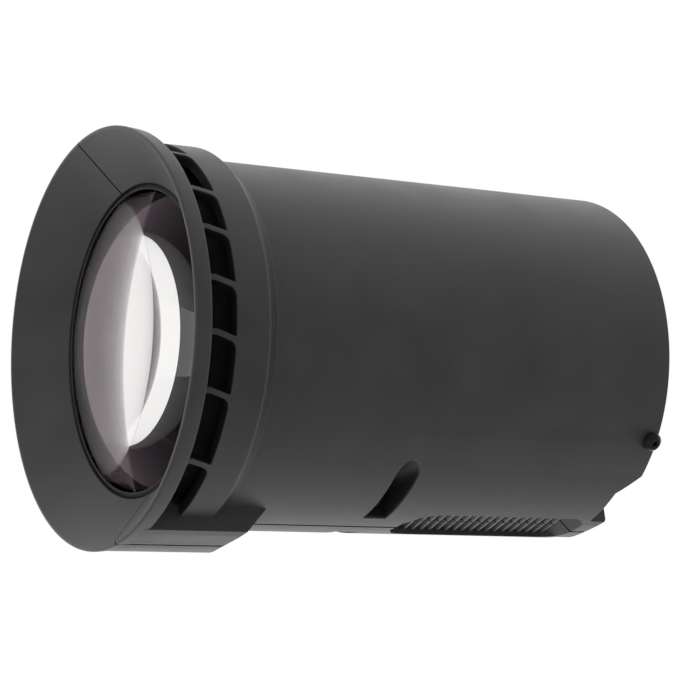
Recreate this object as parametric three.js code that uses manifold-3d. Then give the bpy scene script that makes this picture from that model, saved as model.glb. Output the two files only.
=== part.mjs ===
// Fixed-focus lens tube of an ellipsoidal spotlight.
// Millimetres, +Z up. The optical axis is Y: the bell mouth faces -Y and the open rear end faces +Y.
// The origin is on the optical axis, halfway along the tube. The two half shells meet on the plane X = 0,
// and the focus rack is on the underside (-Z).
//
// Three local coordinates are used throughout:
//   z  distance behind the front rim (Y = z - LENGTH / 2)
//   r  distance below the optical axis (Z = -r)
//   s  distance sideways from the seam plane (X = s)

import * as THREE from 'three';
import { mergeVertices } from 'three/addons/utils/BufferGeometryUtils.js';
import Module from 'manifold-3d';

const wasm = await Module();
wasm.setup();

// ---- driving dimensions ----

const LENGTH = 244.6;
const TUBE_R = 80;
const WALL = 3;
const RIM_R = 90.4;
const COLLAR_R = 84.8;
const BORE_R = 67.4;
const SEAM_GAP = 0.5;
const GAP = 0.3;
const CLEAR = 5; // how far a cutter runs past the surface it cuts
const SEGMENTS = 48;
const RING_SEGMENTS = 40;
const CURVE_SEGMENTS = 4;

// bell mouth and collar
const RIM_LAND = 1.6;
const RIM_DEPTH = 7.8;
const BELL_DEPTH = 18.4;
const WINDOW_FRONT = 9.4;
const WINDOW_BACK = 21.6;
const COLLAR_END = 36.5;
const COLLAR_STEP_END = 42.6;

// lens seat: a groove between the front lip and the rear lip. It holds two plano-convex lenses, flat sides
// towards each other, each with its edge in a gasket
const GROOVE_R = 71.3;
const GROOVE_FRONT = 20.2;
const GROOVE_BACK = 41.9;
const CARRIER_R = 74.2;
const REAR_LIP_R = 66.5;
const REAR_LIP_DEPTH = 3;
const STACK_R = GROOVE_R - GAP;
const FRONT_EDGE = { z: 23, thickness: 6 };
const REAR_EDGE = { z: 31.4, thickness: 3.4 };
const LENS_SAG = 20;
const SPACER_R = 67.4;
const RETAINER_R = 67;
const GASKET_R = 66.8;
const GASKET_FLANGE = 2.2;
const GASKET_TIP = 0.5;
const GASKET_LIP = 4.9;

// ribs between the windows: angles from the bottom seam towards the side, the same on both halves
const RIB_ANGLES = [36, 57.5, 73.5, 88.5, 104, 118.5, 139.5, 160.5];
const RIB_HALF = 1.2;
const RIB_START = 6;
const RIB_BEND = 12;
const RIB_SWEEP = 2.8;
const RIB_FLARE = 5.2;
const RIB_DEPTH = 5;
const TOP_RIB_HALF = 3.5;

// block over the bottom seam behind the rim
const BLOCK_HALF = 17.3;
const BLOCK_R = 90;
const BLOCK_FRONT = 4.5;
const BLOCK_FLAT_END = 51.5;

// clamp screws across the seam: the bottom one between two pockets that open outwards, the top ones from a
// pocket in the left half into a nut that is slid into the right half from the inside
const POCKET_R = 5.9;
const POCKET_DEPTH_R = 69.4;
const POCKET_WALL = 2.6;
const HEAD_SEAT = 11;
const NUT_SEAT = 12;
const SCREW_R = 2;
const SCREW_HOLE_R = 2.4;
const HEAD_R = 3.8;
const HEAD_HEIGHT = 2.9;
const HEAD_SOCKET = 2.5;
const WASHER_R = 4.6;
const WASHER_T = 0.8;
const NUT_FLATS = 7;
const NUT_HEIGHT = 3.2;
const TOP_NUT_SEAT = 5;
const TOP_HOUSING = 15;
const SCREW_TIP = 5; // how far the shank runs past the nut's seat
const BOTTOM_SCREW_Z = 120.5;
const TOP_SCREW_Z = { top_front: 77, top_middle: 148, top_rear: 219 };

// focus rack in its recess along the bottom seam
const RECESS_FRONT = 138;
const RECESS_BACK = 234.3;
const RECESS_HALF = 16;
const RECESS_NOSE = 5;
const RECESS_TAIL = 10;
const RECESS_SHOULDER = 7;
const RACK_FRONT = 146.6;
const RACK_BACK = 227.5;
const RACK_PITCH = 4.47;
const RACK_TEETH = 18;
const RACK_ROOT = 74.2;
const RACK_TIP = 76.6;
const RACK_BED = 71;
const TOOTH_FOOT = 1.7;
const TOOTH_TIP = 0.6;
const TOOTH_HALF = 14.8;
const TOOTH_SLANT = 0.26; // how far a tooth runs back for each mm towards -X

// rear end: tongue on the seam between two notches, and the guide studs
const TONGUE_HALF = 13.8;
const TONGUE_INNER = 66;
const TONGUE_CHAMFER = 3;
const NOTCH_Z = 235.2;
const NOTCH_SIDE = 35.4;
const STUD_Z = 240.4;
const STUD_ANGLE = 48;
const STUD_R = 4.2;
const STUD_TOP = 84;
const STUD_BOSS_INNER = 72.5;
const STUD_SOCKET = 3;

// stray light baffle
const BAFFLE_Z = 100;
const BAFFLE_T = 1.2;
const BAFFLE_INNER = 64;
const BAFFLE_RIDGE = { depth: 2, width: 2.5 };

// locating dowels
const DOWEL_R = 1.5;
const DOWEL_HALF = 7;
const FRONT_DOWEL = { z: 29, r: 79 };
const REAR_DOWEL = { z: 238.5, r: 72 };

// ---- materials ----

function finish(color, roughness, metalness) {
  return new THREE.MeshStandardMaterial({ color, roughness, metalness });
}

const black = finish(0x2b2b2d, 0.7, 0);
const glass = finish(0xe4e6ea, 0.05, 0);
const rubber = finish(0x161616, 0.9, 0);
const anodised = finish(0x1f1f21, 0.5, 0.6);
const zinc = finish(0x9a9a98, 0.35, 0.9);

// ---- solids ----

const Y_OF = (z) => z - LENGTH / 2;

// Closed manifold from a three.js geometry, turned the right way out.
function solid(geometry) {
  const bare = geometry.index ? geometry.toNonIndexed() : geometry.clone();
  bare.deleteAttribute('normal');
  bare.deleteAttribute('uv');
  const merged = mergeVertices(bare, 1e-4);
  const position = merged.attributes.position;
  const index = merged.index.array;
  const corner = [new THREE.Vector3(), new THREE.Vector3(), new THREE.Vector3()];
  const kept = [];
  let volume = 0;
  for (let t = 0; t < index.length; t += 3) {
    const [a, b, c] = [index[t], index[t + 1], index[t + 2]];
    if (a === b || b === c || c === a) continue;
    corner[0].fromBufferAttribute(position, a);
    corner[1].fromBufferAttribute(position, b);
    corner[2].fromBufferAttribute(position, c);
    volume += corner[0].dot(corner[1].cross(corner[2]));
    kept.push(a, b, c);
  }
  if (volume < 0) kept.reverse();
  return new wasm.Manifold(new wasm.Mesh({
    numProp: 3,
    vertProperties: Float32Array.from(position.array),
    triVerts: Uint32Array.from(kept),
  }));
}

function geometryOf(manifold) {
  const mesh = manifold.getMesh();
  const geometry = new THREE.BufferGeometry();
  geometry.setAttribute('position', new THREE.BufferAttribute(Float32Array.from(mesh.vertProperties), 3));
  geometry.setIndex(new THREE.BufferAttribute(Uint32Array.from(mesh.triVerts), 1));
  geometry.computeVertexNormals();
  return geometry;
}

function union(solids) {
  return solids.reduce((sum, next) => sum.add(next));
}

function vectors(points) {
  return points.map(([x, y]) => new THREE.Vector2(x, y));
}

// Turned body about the optical axis, from [radius, z] points.
function turned(points, segments = SEGMENTS) {
  return solid(new THREE.LatheGeometry(vectors(points.map(([radius, z]) => [radius, Y_OF(z)])), segments));
}

// Turned ring about the optical axis: the outline closes on itself.
function ring(points, segments = SEGMENTS) {
  return turned([...points, points[0]], segments);
}

// Straight prism: the outline's own x, y and depth directions point along the three given axes.
function prism(outline, depth, xAxis, yAxis, depthAxis, origin) {
  const options = { depth, bevelEnabled: false, curveSegments: CURVE_SEGMENTS };
  const geometry = new THREE.ExtrudeGeometry(outline, options);
  geometry.applyMatrix4(new THREE.Matrix4().makeBasis(xAxis, yAxis, depthAxis).setPosition(origin));
  return solid(geometry);
}

const X = new THREE.Vector3(1, 0, 0);
const Y = new THREE.Vector3(0, 1, 0);
const DOWN = new THREE.Vector3(0, 0, -1);

// Prism across the seam: the outline holds [z, r] points, from s0 to s1.
function acrossSeam(outline, s0, s1) {
  return prism(outline, s1 - s0, Y, DOWN, X, new THREE.Vector3(s0, Y_OF(0), 0));
}

// Prism pointing down: the outline holds [s, z] points, from r0 to r1.
function downwards(outline, r0, r1) {
  return prism(outline, r1 - r0, X, Y, DOWN, new THREE.Vector3(0, Y_OF(0), -r0));
}

// Prism along the tube: the outline holds [s, r] points, from z0 to z1.
function alongTube(outline, z0, z1) {
  return prism(outline, z1 - z0, X, DOWN, Y, new THREE.Vector3(0, Y_OF(z0), 0));
}

function polygon(points) {
  return new THREE.Shape(vectors(points));
}

function rectangle(x0, x1, y0, y1) {
  return polygon([[x0, y0], [x1, y0], [x1, y1], [x0, y1]]);
}

function circle(x, y, radius) {
  const shape = new THREE.Shape();
  shape.absarc(x, y, radius, 0, 2 * Math.PI);
  return shape;
}

// Round-bottomed slot in the [z, r] plane, open towards large r.
function slotOutline(z, centre, radius, open) {
  const shape = new THREE.Shape();
  shape.moveTo(z + radius, open);
  shape.lineTo(z - radius, open);
  shape.lineTo(z - radius, centre);
  shape.absarc(z, centre, radius, Math.PI, 2 * Math.PI);
  return shape;
}

// Unit vectors at an angle from the bottom seam towards +X (side = 1) or -X (side = -1).
function radial(degrees, side) {
  const angle = THREE.MathUtils.degToRad(degrees);
  return new THREE.Vector3(side * Math.sin(angle), 0, -Math.cos(angle));
}

function towardsBottom(degrees, side) {
  const angle = THREE.MathUtils.degToRad(degrees);
  return new THREE.Vector3(-side * Math.cos(angle), 0, -Math.sin(angle));
}

// ---- shell features ----

// Everything inside the outer surface, filled to the axis.
function outerForm() {
  return turned([
    [0, 0],
    [RIM_R - 0.6, 0],
    [RIM_R, 0.6],
    [RIM_R - 0.2, 3],
    [RIM_R - 1.1, 5.5],
    [RIM_R - 1.9, RIM_DEPTH],
    [COLLAR_R, WINDOW_FRONT],
    [COLLAR_R, COLLAR_END],
    [COLLAR_R - 0.8, COLLAR_END + 1.3],
    [TUBE_R + 0.6, COLLAR_STEP_END - 0.8],
    [TUBE_R, COLLAR_STEP_END],
    [TUBE_R, LENGTH - 0.8],
    [TUBE_R - 0.8, LENGTH],
    [0, LENGTH],
  ]);
}

// Bell mouth, bore, lens groove and the open tube behind.
function innerSpace() {
  const bellEdge = RIM_R - 0.6 - RIM_LAND;
  const slope = (bellEdge - BORE_R) / BELL_DEPTH;
  return turned([
    [0, -1],
    [bellEdge + slope, -1],
    [BORE_R + 0.7, BELL_DEPTH - 0.6],
    [BORE_R, BELL_DEPTH + 0.3],
    [BORE_R, GROOVE_FRONT],
    [GROOVE_R, GROOVE_FRONT],
    [GROOVE_R, GROOVE_BACK],
    [REAR_LIP_R, GROOVE_BACK],
    [REAR_LIP_R, GROOVE_BACK + REAR_LIP_DEPTH],
    [TUBE_R - WALL, GROOVE_BACK + REAR_LIP_DEPTH],
    [TUBE_R - WALL, LENGTH + 1],
    [0, LENGTH + 1],
  ]);
}

// Cooling space around the lens carrier, which opens to the outside between the bell and the collar.
function coolingSpace() {
  const innerCollar = COLLAR_R - WALL;
  return ring([
    [CARRIER_R, 17.4],
    [COLLAR_R + 1.2, 8.6],
    [COLLAR_R + 1.2, WINDOW_BACK],
    [innerCollar, WINDOW_BACK],
    [innerCollar, COLLAR_END - 2],
    [CARRIER_R, COLLAR_STEP_END - 2],
  ]);
}

// Thin rib between two windows. It leaves the bell straight and sweeps towards the bottom into the collar.
function ventRib(degrees, side) {
  const end = WINDOW_BACK + 0.5;
  const steps = [0, 0.5, 0.8, 1];
  const edge = (offset, sweep) => steps.map((t) => [offset + sweep * t * t, RIB_BEND + (end - RIB_BEND) * t]);
  const outline = [
    [-RIB_HALF, RIB_START],
    [RIB_HALF, RIB_START],
    ...edge(RIB_HALF, RIB_FLARE),
    ...edge(-RIB_HALF, RIB_SWEEP).reverse(),
  ];
  const out = radial(degrees, side);
  const foot = out.clone().multiplyScalar(COLLAR_R - RIB_DEPTH).setY(Y_OF(0));
  return prism(polygon(outline), RIB_DEPTH + 3, towardsBottom(degrees, side), Y, out, foot);
}

// Broad straight rib over the top seam, half of it on each shell.
function topSeamRib() {
  const plan = rectangle(-TOP_RIB_HALF, TOP_RIB_HALF, RIB_START, WINDOW_BACK + 0.5);
  return toTop(downwards(plan, COLLAR_R - RIB_DEPTH, COLLAR_R + 3));
}

function seamBlock() {
  const spread = Math.asin(BLOCK_HALF / BLOCK_R);
  const shape = new THREE.Shape();
  shape.moveTo(-BLOCK_HALF, GROOVE_R - 1);
  shape.lineTo(BLOCK_HALF, GROOVE_R - 1);
  shape.absarc(0, 0, BLOCK_R, Math.PI / 2 - spread, Math.PI / 2 + spread);
  const rampRun = BLOCK_R - TUBE_R + 12;
  const bar = alongTube(shape, BLOCK_FRONT, BLOCK_FLAT_END + rampRun);
  const ramp = polygon([
    [BLOCK_FLAT_END - 1, BLOCK_R + 1],
    [BLOCK_FLAT_END + rampRun + 1, BLOCK_R + 1],
    [BLOCK_FLAT_END + rampRun + 1, BLOCK_R - rampRun - 1],
  ]);
  return bar.subtract(acrossSeam(ramp, -BLOCK_HALF - 1, BLOCK_HALF + 1));
}

// Flip a bottom feature to the top of the tube.
function toTop(manifold) {
  return manifold.rotate([0, 180, 0]);
}

// Solid round a clamp screw, from the head's side (+X) to nutEnd on the nut's side.
function screwHousing(z, nutEnd) {
  const outline = slotOutline(z, POCKET_DEPTH_R, POCKET_R + POCKET_WALL, TUBE_R);
  return acrossSeam(outline, -nutEnd, TUBE_R);
}

// Pocket for the head (+X side) and the hole for the shank.
function headCut(z) {
  const pocket = slotOutline(z, POCKET_DEPTH_R, POCKET_R, TUBE_R + CLEAR);
  const hole = circle(z, POCKET_DEPTH_R, SCREW_HOLE_R);
  return acrossSeam(pocket, HEAD_SEAT, TUBE_R).add(acrossSeam(hole, -NUT_SEAT - 1, NUT_SEAT + 1));
}

function bottomScrewCut() {
  const pocket = slotOutline(BOTTOM_SCREW_Z, POCKET_DEPTH_R, POCKET_R, TUBE_R + CLEAR);
  return headCut(BOTTOM_SCREW_Z).add(acrossSeam(pocket, -TUBE_R, -NUT_SEAT));
}

// Head pocket and a slot, open to the inside of the tube, for the nut.
function topScrewCut(z) {
  const half = NUT_FLATS / 2 + GAP;
  const outer = POCKET_DEPTH_R + NUT_FLATS / Math.sqrt(3) + GAP;
  const slot = rectangle(z - half, z + half, TUBE_R / 2, outer);
  const slotEnd = TOP_NUT_SEAT + NUT_HEIGHT + 2 * GAP;
  return headCut(z).add(acrossSeam(slot, -slotEnd, -TOP_NUT_SEAT));
}

function rackBed() {
  const half = RECESS_HALF + WALL;
  return downwards(rectangle(-half, half, RECESS_FRONT - WALL, RECESS_BACK + WALL), RACK_BED, TUBE_R);
}

// Recess whose sides draw in towards both ends, where its floor rises to the tube's surface.
function rackRecess() {
  const half = [
    [RECESS_NOSE, RECESS_FRONT],
    [RECESS_HALF - 2, RECESS_FRONT + RECESS_SHOULDER],
    [RECESS_HALF, RACK_FRONT + RECESS_SHOULDER],
    [RECESS_HALF, RACK_BACK],
    [RECESS_TAIL, RECESS_BACK],
  ];
  const mirrored = half.map(([s, z]) => [-s, z]).reverse();
  const lip = TUBE_R + 0.2;
  const side = polygon([
    [RECESS_FRONT, lip],
    [RACK_FRONT - 1, RACK_ROOT],
    [RACK_BACK + 1, RACK_ROOT],
    [RECESS_BACK, lip],
    [RECESS_BACK, TUBE_R + CLEAR],
    [RECESS_FRONT, TUBE_R + CLEAR],
  ]);
  const wide = RECESS_HALF + CLEAR;
  const plan = polygon([...half, ...mirrored]);
  return downwards(plan, RACK_BED, TUBE_R + CLEAR).intersect(acrossSeam(side, -wide, wide));
}

// Slanted teeth across the recess, centred on the seam.
function rackTeeth() {
  const foot = RACK_ROOT - 0.5;
  const along = new THREE.Vector3(1, -TOOTH_SLANT, 0);
  const end = new THREE.Vector3(-TOOTH_HALF, Y_OF(TOOTH_SLANT * TOOTH_HALF), 0);
  const teeth = [];
  for (let tooth = 0; tooth < RACK_TEETH; tooth += 1) {
    const z = RACK_FRONT + 2 + tooth * RACK_PITCH;
    const outline = polygon([
      [z - TOOTH_FOOT, foot],
      [z - TOOTH_FOOT, RACK_ROOT],
      [z - TOOTH_TIP, RACK_TIP],
      [z + TOOTH_TIP, RACK_TIP],
      [z + TOOTH_FOOT, RACK_ROOT],
      [z + TOOTH_FOOT, foot],
    ]);
    teeth.push(prism(outline, 2 * TOOTH_HALF, Y, DOWN, along, end));
  }
  return union(teeth);
}

function tongue() {
  return downwards(rectangle(-TONGUE_HALF, TONGUE_HALF, RECESS_BACK - 6, LENGTH), TONGUE_INNER, TUBE_R);
}

function tongueChamfer() {
  const corner = polygon([
    [LENGTH - TONGUE_CHAMFER, TUBE_R + 0.2],
    [LENGTH + 0.2, TUBE_R - TONGUE_CHAMFER],
    [LENGTH + 1, TUBE_R + 1],
  ]);
  return acrossSeam(corner, -TONGUE_HALF - 1, TONGUE_HALF + 1);
}

function rearNotch(side) {
  const rise = LENGTH + 2 - NOTCH_Z;
  const outline = polygon([
    [side * TONGUE_HALF, NOTCH_Z],
    [side * NOTCH_SIDE, NOTCH_Z],
    [side * (NOTCH_SIDE + rise * 1.1), LENGTH + 2],
    [side * TONGUE_HALF, LENGTH + 2],
  ]);
  return downwards(outline, TUBE_R / 2, TUBE_R + CLEAR);
}

function radialCylinder(radius, inner, outer, side) {
  const out = radial(STUD_ANGLE, side);
  const foot = out.clone().multiplyScalar(inner).setY(Y_OF(STUD_Z));
  return prism(circle(0, 0, radius), outer - inner, towardsBottom(STUD_ANGLE, side), Y, out, foot);
}

function baffleGroove() {
  const edge = TUBE_R - WALL;
  const half = BAFFLE_T / 2 + GAP;
  const ridge = (direction) => ring([
    [edge - BAFFLE_RIDGE.depth, BAFFLE_Z + direction * half],
    [edge + 1, BAFFLE_Z + direction * half],
    [edge + 1, BAFFLE_Z + direction * (half + BAFFLE_RIDGE.width)],
  ]);
  return union([ridge(-1), ridge(1)]);
}

function dowelHole(place) {
  const depth = DOWEL_HALF + GAP;
  return acrossSeam(circle(place.z, place.r, DOWEL_R + GAP), -depth, depth);
}

// Both halves in one piece, before the seam is cut.
function wholeShell() {
  const outer = outerForm();
  const sides = [1, -1];
  const ribs = sides.flatMap((side) => RIB_ANGLES.map((degrees) => ventRib(degrees, side)));
  ribs.push(topSeamRib());
  let shell = outer.subtract(coolingSpace());
  shell = shell.add(union(ribs).intersect(outer));
  shell = shell.add(seamBlock());
  shell = shell.subtract(innerSpace());
  const topZ = Object.values(TOP_SCREW_Z);
  const inside = [
    screwHousing(BOTTOM_SCREW_Z, TUBE_R),
    ...topZ.map((z) => toTop(screwHousing(z, TOP_HOUSING))),
    rackBed(),
    tongue(),
    ...sides.map((side) => radialCylinder(STUD_R + 0.3, STUD_BOSS_INNER, TUBE_R, side)),
    baffleGroove(),
  ];
  shell = shell.add(union(inside).intersect(outer));
  const cuts = [
    bottomScrewCut(),
    ...topZ.map((z) => toTop(topScrewCut(z))),
    rackRecess(),
    tongueChamfer(),
    ...sides.map(rearNotch),
    ...sides.map((side) => radialCylinder(SCREW_R + GAP, STUD_BOSS_INNER - 1, TUBE_R + 1, side)),
    dowelHole(FRONT_DOWEL),
    dowelHole(REAR_DOWEL),
  ];
  shell = shell.subtract(union(cuts));
  return shell.add(rackTeeth());
}

function halfShell(shell, side) {
  const reach = RIM_R + 10;
  const near = SEAM_GAP / 2;
  const [s0, s1] = side > 0 ? [near, reach] : [-reach, -near];
  return shell.intersect(downwards(rectangle(s0, s1, -10, LENGTH + 10), -reach, reach));
}

// ---- optics ----

// Points along a lens's spherical face, from its edge to the axis.
function face(radius, edgeZ, direction) {
  const sphere = (radius * radius + LENS_SAG * LENS_SAG) / (2 * LENS_SAG);
  const steps = 5;
  const points = [];
  for (let i = 0; i <= steps; i += 1) {
    const x = radius * (1 - i / steps);
    const rise = Math.sqrt(sphere * sphere - x * x) - (sphere - LENS_SAG);
    points.push([x, edgeZ + direction * rise]);
  }
  return points;
}

// Plano-convex lens: the convex face points forwards (direction -1) or backwards (direction 1).
function lens(edge, direction) {
  const radius = STACK_R - 1.5;
  const front = edge.z;
  const rear = edge.z + edge.thickness;
  if (direction < 0) {
    const convex = face(radius, front, direction).reverse();
    return turned([...convex, [radius, rear], [0, rear]], RING_SEGMENTS);
  }
  return turned([[0, front], [radius, front], ...face(radius, rear, direction)], RING_SEGMENTS);
}

function flatRing(inner, outer, z0, z1) {
  return ring([[inner, z0], [outer, z0], [outer, z1], [inner, z1]], RING_SEGMENTS);
}

// Gasket with a flange against the lens face and a lip around its edge, from the flange's flat back at z0
// to the lip's end at z1. The flange thins inwards, to follow the lens face.
function lensGasket(z0, z1) {
  const lip = STACK_R - 1.2;
  const inwards = Math.sign(z1 - z0);
  return ring([
    [GASKET_R, z0],
    [STACK_R, z0],
    [STACK_R, z1],
    [lip, z1],
    [lip, z0 + inwards * GASKET_FLANGE],
    [GASKET_R, z0 + inwards * GASKET_TIP],
  ], RING_SEGMENTS);
}

// ---- fasteners, each turned about the X axis ----

function onX(points) {
  const profile = vectors(points.map(([radius, x]) => [radius, x]));
  const geometry = new THREE.LatheGeometry(profile, 12);
  geometry.rotateZ(-Math.PI / 2);
  return solid(geometry);
}

function hexPrism(acrossFlats, x0, x1) {
  const radius = acrossFlats / Math.sqrt(3);
  const geometry = new THREE.CylinderGeometry(radius, radius, x1 - x0, 6);
  geometry.rotateZ(-Math.PI / 2);
  geometry.translate((x0 + x1) / 2, 0, 0);
  return solid(geometry);
}

function clampScrew(nutSeat) {
  const head = HEAD_SEAT + WASHER_T + 2 * GAP;
  const top = head + HEAD_HEIGHT;
  const tip = -nutSeat - GAP - SCREW_TIP;
  const body = onX([
    [0, tip],
    [SCREW_R - 0.4, tip],
    [SCREW_R, tip + 0.6],
    [SCREW_R, head],
    [HEAD_R, head],
    [HEAD_R, top - 0.7],
    [HEAD_R - 0.7, top],
    [0, top],
  ]);
  return body.subtract(hexPrism(HEAD_SOCKET, top - 1.7, top + 1));
}

function clampWasher() {
  const seat = HEAD_SEAT + GAP;
  const hole = SCREW_R + GAP;
  return onX([
    [hole, seat],
    [WASHER_R, seat],
    [WASHER_R, seat + WASHER_T],
    [hole, seat + WASHER_T],
    [hole, seat],
  ]);
}

function clampNut(nutSeat) {
  const seat = -nutSeat - GAP;
  const bore = SCREW_R + GAP;
  const end = seat - NUT_HEIGHT;
  const hole = onX([[0, end - 1], [bore, end - 1], [bore, seat + 1], [0, seat + 1]]);
  return hexPrism(NUT_FLATS, end, seat).subtract(hole);
}

// Button-headed stud whose shank sits in the shell wall; built along X, with x the distance from the axis.
function guideStud() {
  const seat = TUBE_R + GAP;
  const body = onX([
    [0, STUD_BOSS_INNER - 1.5],
    [SCREW_R, STUD_BOSS_INNER - 1.5],
    [SCREW_R, seat],
    [STUD_R, seat],
    [STUD_R, STUD_TOP - 0.8],
    [STUD_R - 0.8, STUD_TOP],
    [0, STUD_TOP],
  ]);
  return body.subtract(hexPrism(STUD_SOCKET, STUD_TOP - 2, STUD_TOP + 1));
}

function dowel() {
  return onX([
    [0, -DOWEL_HALF],
    [DOWEL_R - 0.4, -DOWEL_HALF],
    [DOWEL_R, -DOWEL_HALF + 0.4],
    [DOWEL_R, DOWEL_HALF - 0.4],
    [DOWEL_R - 0.4, DOWEL_HALF],
    [0, DOWEL_HALF],
  ]);
}

// ---- scene graph ----

function piece(name, manifold, material) {
  const mesh = new THREE.Mesh(geometryOf(manifold), material);
  mesh.name = name;
  return mesh;
}

// Screw, washer and nut in one place, with the head towards +X.
function clampSet(name, nutSeat) {
  const set = new THREE.Group();
  set.add(piece(`${name}_clamp_screw`, clampScrew(nutSeat), anodised));
  set.add(piece(`${name}_clamp_washer`, clampWasher(), zinc));
  set.add(piece(`${name}_clamp_nut`, clampNut(nutSeat), zinc));
  return set;
}

const tube = new THREE.Group();

const shell = wholeShell();
tube.add(piece('shell_right', halfShell(shell, 1), black));
tube.add(piece('shell_left', halfShell(shell, -1), black));

const frontLensBack = FRONT_EDGE.z + FRONT_EDGE.thickness;
const frontGasket = GROOVE_FRONT + GAP;
const rearGasket = REAR_EDGE.z + REAR_EDGE.thickness + GAP + GASKET_FLANGE;
tube.add(piece('front_lens', lens(FRONT_EDGE, -1), glass));
tube.add(piece('rear_lens', lens(REAR_EDGE, 1), glass));
tube.add(piece('front_lens_gasket', lensGasket(frontGasket, frontGasket + GASKET_LIP), rubber));
const spacer = flatRing(SPACER_R, STACK_R - 0.8, frontLensBack + GAP, REAR_EDGE.z - GAP);
const retainer = flatRing(RETAINER_R, STACK_R, rearGasket + GAP, GROOVE_BACK - GAP);
tube.add(piece('lens_spacer', spacer, anodised));
tube.add(piece('rear_lens_gasket', lensGasket(rearGasket, rearGasket - GASKET_LIP), rubber));
tube.add(piece('lens_retaining_ring', retainer, anodised));

const baffleEdge = TUBE_R - WALL - 2 * GAP;
const baffle = flatRing(BAFFLE_INNER, baffleEdge, BAFFLE_Z - BAFFLE_T / 2, BAFFLE_Z + BAFFLE_T / 2);
tube.add(piece('light_baffle', baffle, anodised));

const bottomSet = clampSet('bottom', NUT_SEAT);
bottomSet.position.set(0, Y_OF(BOTTOM_SCREW_Z), -POCKET_DEPTH_R);
tube.add(bottomSet);
for (const [name, z] of Object.entries(TOP_SCREW_Z)) {
  const set = clampSet(name, TOP_NUT_SEAT);
  set.position.set(0, Y_OF(z), POCKET_DEPTH_R);
  set.rotation.y = Math.PI;
  tube.add(set);
}

for (const [name, side] of [['right_guide_stud', 1], ['left_guide_stud', -1]]) {
  const stud = piece(name, guideStud(), black);
  const out = radial(STUD_ANGLE, side);
  stud.position.setY(Y_OF(STUD_Z));
  stud.rotation.y = Math.atan2(-out.z, out.x);
  tube.add(stud);
}

for (const [name, place] of [['front_dowel', FRONT_DOWEL], ['rear_dowel', REAR_DOWEL]]) {
  const pin = piece(name, dowel(), zinc);
  pin.position.set(0, Y_OF(place.z), -place.r);
  tube.add(pin);
}

export default tube;
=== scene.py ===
"""Lens tube of an ellipsoidal spotlight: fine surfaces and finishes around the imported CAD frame.

Metres in the row frame: the optical axis is Y, the bell mouth faces -Y, the focus rack is on the -Z side and
the half shells meet on X = 0. Shapes are written in millimetres in local coordinates:
  z  distance behind the front rim
  r  distance below the optical axis
  s  distance sideways from the seam plane
"""

import math

import bmesh
import bpy
import numpy as np
from mathutils import Matrix, Vector


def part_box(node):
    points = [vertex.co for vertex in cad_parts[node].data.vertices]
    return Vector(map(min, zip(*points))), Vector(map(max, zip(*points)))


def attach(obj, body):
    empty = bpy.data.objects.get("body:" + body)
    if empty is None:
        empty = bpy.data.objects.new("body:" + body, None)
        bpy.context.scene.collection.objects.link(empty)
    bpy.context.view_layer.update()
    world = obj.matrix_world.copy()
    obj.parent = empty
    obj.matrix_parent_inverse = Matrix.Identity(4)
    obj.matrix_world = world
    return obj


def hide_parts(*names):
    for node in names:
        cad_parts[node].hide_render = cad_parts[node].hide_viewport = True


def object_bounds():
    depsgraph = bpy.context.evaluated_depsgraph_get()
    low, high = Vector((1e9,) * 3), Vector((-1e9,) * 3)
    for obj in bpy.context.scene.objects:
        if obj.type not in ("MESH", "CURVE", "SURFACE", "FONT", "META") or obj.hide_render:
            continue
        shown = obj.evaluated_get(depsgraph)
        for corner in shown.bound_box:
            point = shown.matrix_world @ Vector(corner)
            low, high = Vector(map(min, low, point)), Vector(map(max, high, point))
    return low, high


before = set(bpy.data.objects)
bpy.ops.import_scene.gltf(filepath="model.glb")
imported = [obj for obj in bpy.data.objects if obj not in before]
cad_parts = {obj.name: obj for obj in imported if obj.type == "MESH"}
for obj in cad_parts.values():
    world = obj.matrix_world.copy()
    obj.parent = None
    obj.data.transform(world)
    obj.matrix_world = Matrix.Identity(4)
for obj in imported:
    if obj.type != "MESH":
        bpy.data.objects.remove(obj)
CAD_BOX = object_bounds()

MM = 0.001


# ---- driving dimensions, from the frame ----

def size_mm(node):
    """Lowest and highest corners of a CAD node in millimetres."""
    low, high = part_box(node)
    return np.array(low) / MM, np.array(high) / MM


_, shell_high = size_mm("shell_right")
shell_low, _ = size_mm("shell_left")
LENGTH = shell_high[1] - shell_low[1]
RIM_R = shell_high[0]
FRONT_Y = shell_low[1]
SEAM_EXTRA = 0.15
SEAM_HALF = size_mm("shell_right")[0][0] + SEAM_EXTRA


def z_range(node):
    """Where a node starts and ends behind the front rim."""
    low, high = size_mm(node)
    return low[1] - FRONT_Y, high[1] - FRONT_Y


def radius_of(node):
    """Outside radius of a node turned about the optical axis."""
    return size_mm(node)[1][0]


def centre_of(node):
    """Centre of a node as (s, z, r)."""
    low, high = size_mm(node)
    x, y, z = (low + high) / 2
    return x, y - FRONT_Y, -z


TUBE_R = RIM_R - 10.4
COLLAR_R = RIM_R - 5.6
BORE_R = RIM_R - 23
WALL = 3.0
GAP = 0.3
INNER_R = TUBE_R - WALL

RIM_DEPTH = 7.8
BELL_DEPTH = 18.7
BELL_LAND_R = RIM_R - 2.2
BELL_SLOPE = 1.09
WINDOW_FRONT = 9.4
WINDOW_BACK = 21.6
COLLAR_END = 36.5
TUBE_START = 42.6

GROOVE_R = radius_of("front_lens_gasket") + GAP
GROOVE_FRONT = z_range("front_lens_gasket")[0] - GAP
GROOVE_BACK = z_range("lens_retaining_ring")[1] + GAP
CARRIER_R = GROOVE_R + 2.9
REAR_LIP_R = BORE_R - 0.9
REAR_LIP_DEPTH = 3
WIPER_R = BORE_R - 2.6
BAFFLE_R = 64
LENS_SAG = 20

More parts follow.
